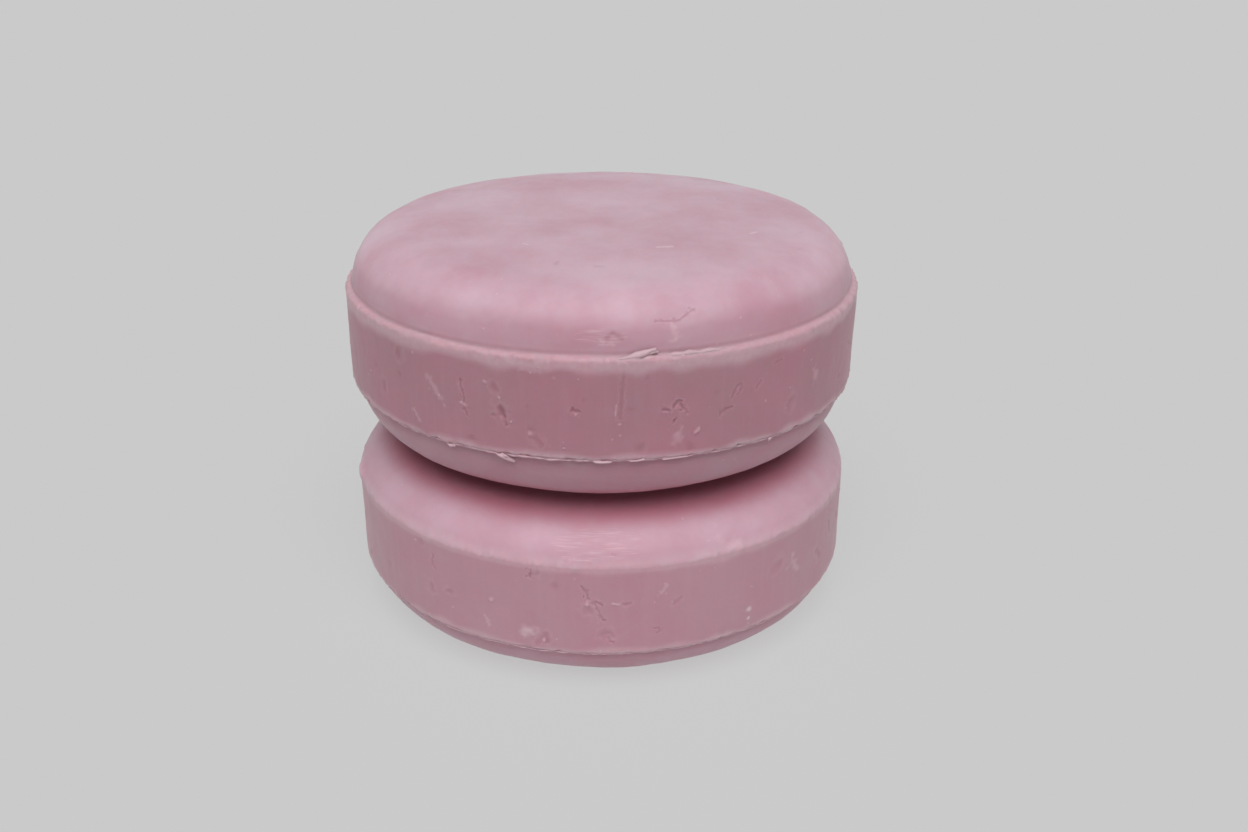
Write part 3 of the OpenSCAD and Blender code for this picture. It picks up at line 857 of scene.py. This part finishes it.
upperPuck = {
    "name": "upperPuck",
    "node": "upper_puck",
    "crown": 8.8 * mm,
    "wornTop": False,
    "pressedOnTop": 0.0,
    "settling": 7 * mm,
    "seed": 8,
    "marks": upperMarks,
    # painted shade on the underside, where it rests on the lower puck
    "paintedShadeZones": [("under", 33 * mm, 1.8 * mm, 0.6)],
    "pitDarkness": 0.2,
    "scrapes": [(0, 9, 2.2, 1.8), (200, 12, 5, 2)],
    "crumbsFrom": 26 * mm,
    "rims": [
        # the whitening above this rim is rubbed soap and, where it reaches over the ledge and its inner
        # corner, painted light
        {"at": "topRim", "seed": 15, "bloom": 0.32, "bloomUp": 2.3 * mm, "bloomDown": 1.9 * mm,
         "ragged": 0.07 * mm, "raggedAt": -0.3 * mm, "raggedWidth": 0.5 * mm},
        {"at": "lowRim", "seed": 19, "bloom": 0.35, "bloomUp": 0.7 * mm, "bloomDown": 1.3 * mm,
         "ragged": 0.07 * mm, "raggedAt": 0.1 * mm, "raggedWidth": 0.45 * mm},
    ],
    "flash": [
        {"at": "lowRim", "in": 0.28 * mm, "up": 0.05 * mm, "girth": 0.15 * mm, "pale": 0.25},
    ],
    # torn bits: the rim they start from, then (turn, mm out, mm up, mm girth) along each
    "strips": [
        ("topRim", [(2, -0.4, -0.2, 0.1), (4.5, -0.4, -0.1, 0.3), (6.6, -0.45, 0.1, 0.42),
                    (8.2, -0.5, 0.4, 0.4), (9.5, -0.55, 0.65, 0.36), (10.4, -0.55, 0.75, 0.26)]),
        ("topRim", [(7.4, -0.55, 0.1, 0.2), (9, -0.6, 0.3, 0.3), (10.2, -0.55, 0.42, 0.24),
                    (10.9, -0.55, 0.4, 0.12)]),
        ("topRim", [(12.6, -0.5, -0.15, 0.16), (14, -0.5, -0.05, 0.36), (15.5, -0.5, -0.12, 0.3),
                    (17, -0.5, 0, 0.4), (19, -0.5, -0.12, 0.28), (21, -0.5, 0, 0.34),
                    (23, -0.5, -0.1, 0.24), (26, -0.5, -0.2, 0.1)]),
        ("lowRim", [(-21, 0, 0.1, 0.14), (-20, 0, -0.05, 0.3), (-19.2, -0.2, -0.4, 0.28),
                    (-18.4, -0.5, -0.7, 0.26), (-17.7, -0.8, -1, 0.26)]),
        ("lowRim", [(-19.9, 0, 0.3, 0.14), (-19.3, 0.05, 0, 0.24), (-18.6, 0, -0.1, 0.2)]),
        ("lowRim", [(-32.6, -0.1, 0, 0.14), (-31.7, -0.1, -0.25, 0.34), (-30.6, -0.1, -0.05, 0.16)]),
        ("lowRim", [(-1.4, -0.15, 0, 0.1), (0, -0.15, -0.05, 0.24), (1.6, -0.2, -0.1, 0.24),
                    (2, -0.15, 0, 0.1)]),
        ("lowRim", [(5.5, -0.1, 0, 0.1), (7, 0, 0.1, 0.18), (8.2, 0.05, 0.3, 0.12)]),
        ("lowRim", [(12, -0.1, -0.05, 0.12), (15.4, -0.1, 0, 0.2), (17, -0.1, 0.05, 0.1)]),
        ("lowRim", [(35.8, -0.1, -0.1, 0.2), (36.6, -0.1, 0, 0.12)]),
    ],
    "stripPale": 0.4,
    "look": soapLook,
}
unevenness = {  # of every puck
    "Swell": 0.1 * mm,
    "Swell size": 16 * mm,
    "Ripple": 0.03 * mm,
    "Ripple size": 3 * mm,
    "Pits": 12000.0,  # for each square metre of band
    "Crown pits": 700.0,
    "Pit size": 1.1 * mm,  # radius of the largest; the smallest has a third of it
    "Pit depth": -0.22,  # in parts of a pit's radius, inwards
    "Pit tear": 0.9 * mm,  # how coarsely the edge of a pit is torn
}
flashSizes = {"Sway": 0.36 * mm, "Sway size": 1.6 * mm, "Tear size": 0.7 * mm, "Thinness": 0.85}
crumbSizes = {
    "Band density": 6000.0,  # for each square metre
    "Crown density": 700.0,
    "Smallest": 0.1 * mm,
    "Largest": 0.27 * mm,
}

puckTree, flashTree, crumbsTree = pressedPuckTree(), tornFlashTree(), soapCrumbsTree()
for puck in (lowerPuck, upperPuck):
    shape = puckShape(puck)
    soap = milledSoap(puck["name"] + "MilledSoap", puck["look"], 1.0)
    torn = milledSoap(puck["name"] + "TornSoap", puck["look"], 0.0)
    body = grow(puck["name"], outlineMesh(puck, shape), puckTree, unevenness | {
        "Rings": pressing["rings"], "Rows": pressing["rows"], "Seed": puck["seed"], "Soap": soap})
    strokes = [(kind, width * mm, [spotOn(shape, face, *spot) for spot in path])
               for kind, face, width, path in puck["marks"] + scatterMarks(puck["seed"], shape["radius"])]
    for finerThan in splitting["below"]:
        splitNear(body.data, [stroke[1:] for stroke in strokes], finerThan)
    wearSurface(body.data, puck, shape, strokes)
    layOutBake(body.data, shape)
    flash = grow(puck["name"] + "Flash", flashPath(puck, shape), flashTree, flashSizes | {"Soap": torn})
    crumbs = grow(puck["name"] + "Crumbs", body.data.copy(), crumbsTree, crumbSizes | {
        "Seed": puck["seed"], "Soap": torn})
    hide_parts(puck["node"])
    for piece in (body, flash, crumbs):
        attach(piece, puck["node"])
        piece.data.calc_loop_triangles()
        print(piece.name, len(piece.data.loop_triangles), "triangles")

stage = {
    "grey": "#cbcbcb",
    "evenLight": 0.82,  # share of the floor's light that throws no shadow
    "reach": 3.0,  # half the floor, and the radius of the backdrop
    "sides": 64,
    "backdropHeight": 1.5,
    "skyFill": 0.05,
    "lowFill": 0.62,  # light thrown up by the table
    "lowFillTo": 0.1,  # upward part of a ray up to which there is only the low fill
    "skyFrom": 0.5,  # and from which there is only the sky's
    "keyStrength": 2.98,
    "keyHeight": math.radians(60),  # above the floor, from the front
    "keyWidth": math.radians(50),
}


def stagePiece(name, points, faces, material):
    mesh = bpy.data.meshes.new(name)
    mesh.from_pydata(points, [], faces)
    mesh.materials.append(material)
    piece = bpy.data.objects.new(name, mesh)
    bpy.context.scene.collection.objects.link(piece)
    piece.visible_diffuse = False  # neither throws light back on the soap
    return piece


paper = bpy.data.materials.new("mattPaper")
paper.use_nodes = True
paperSurface = paper.node_tree.nodes["Principled BSDF"].inputs
shaded = 1 - stage["evenLight"]
paperSurface["Base Color"].default_value = [c * shaded for c in linear(stage["grey"])[:3]] + [1]
paperSurface["Emission Color"].default_value = linear(stage["grey"])
paperSurface["Emission Strength"].default_value = stage["evenLight"]
paperSurface["Roughness"].default_value = 0.9
paperSurface["Specular IOR Level"].default_value = 0.0
glow = bpy.data.materials.new("litBackdrop")
glow.use_nodes = True
glowSurface = glow.node_tree.nodes["Principled BSDF"].inputs
glowSurface["Base Color"].default_value = (0, 0, 0, 1)
glowSurface["Specular IOR Level"].default_value = 0.0
glowSurface["Emission Color"].default_value = linear(stage["grey"])
glowSurface["Emission Strength"].default_value = 1.0
reach, sides = stage["reach"], stage["sides"]
corners = [2 * math.pi * i / sides for i in range(sides)]
circle = [(reach * math.cos(angle), reach * math.sin(angle)) for angle in corners]
stagePiece("floor", [(x, y, 0) for x, y in circle], [tuple(range(sides))], paper)
backdrop = stagePiece("backdrop", [(x, y, z) for z in (0, stage["backdropHeight"]) for x, y in circle],
                      [(i, sides + i, sides + (i + 1) % sides, (i + 1) % sides) for i in range(sides)], glow)
backdrop.visible_shadow = False  # and it doesn't shade the floor in front of it

world = bpy.data.worlds.new("studio")
bpy.context.scene.world = world
world.use_nodes = True
worldTree = world.node_tree
worldTree.nodes.clear()
ray = addNode(worldTree, "ShaderNodeTexCoord")["Generated"]
height = addNode(worldTree, "ShaderNodeSeparateXYZ", {0: ray})[2]
fill = addNode(worldTree, "ShaderNodeMapRange", {
    "Value": height, "From Min": stage["lowFillTo"], "From Max": stage["skyFrom"],
    "To Min": stage["lowFill"], "To Max": stage["skyFill"]})[0]
sky = addNode(worldTree, "ShaderNodeBackground", {"Color": (1, 1, 1, 1), "Strength": fill})[0]
addNode(worldTree, "ShaderNodeOutputWorld", {"Surface": sky})
keyLight = bpy.data.lights.new("key", "SUN")
keyLight.energy = stage["keyStrength"]
keyLight.angle = stage["keyWidth"]
key = bpy.data.objects.new("key", keyLight)
key.rotation_euler = (math.pi / 2 - stage["keyHeight"], 0, 0)
bpy.context.scene.collection.objects.link(key)

view = {
    "sensor": 36,  # mm wide
    "lens": 35.93,
    "height": math.radians(23.705),  # the camera looks down this steeply
    "away": 195.35 * mm,
    "aim": 25.13 * mm,  # height on the pucks' axis at which it looks
    "shift": 0.018,
}
cameraData = bpy.data.cameras.new("camera")
cameraData.sensor_width = view["sensor"]
cameraData.lens = view["lens"]
cameraData.shift_x = view["shift"]
cameraData.clip_start = 10 * mm
camera = bpy.data.objects.new("camera", cameraData)
camera.location = (
    0, -view["away"] * math.cos(view["height"]), view["aim"] + view["away"] * math.sin(view["height"]))
camera.rotation_euler = (math.pi / 2 - view["height"], 0, 0)
bpy.context.scene.collection.objects.link(camera)
bpy.context.scene.camera = camera
bpy.context.scene.view_settings.view_transform = "Standard"
print("stage set")
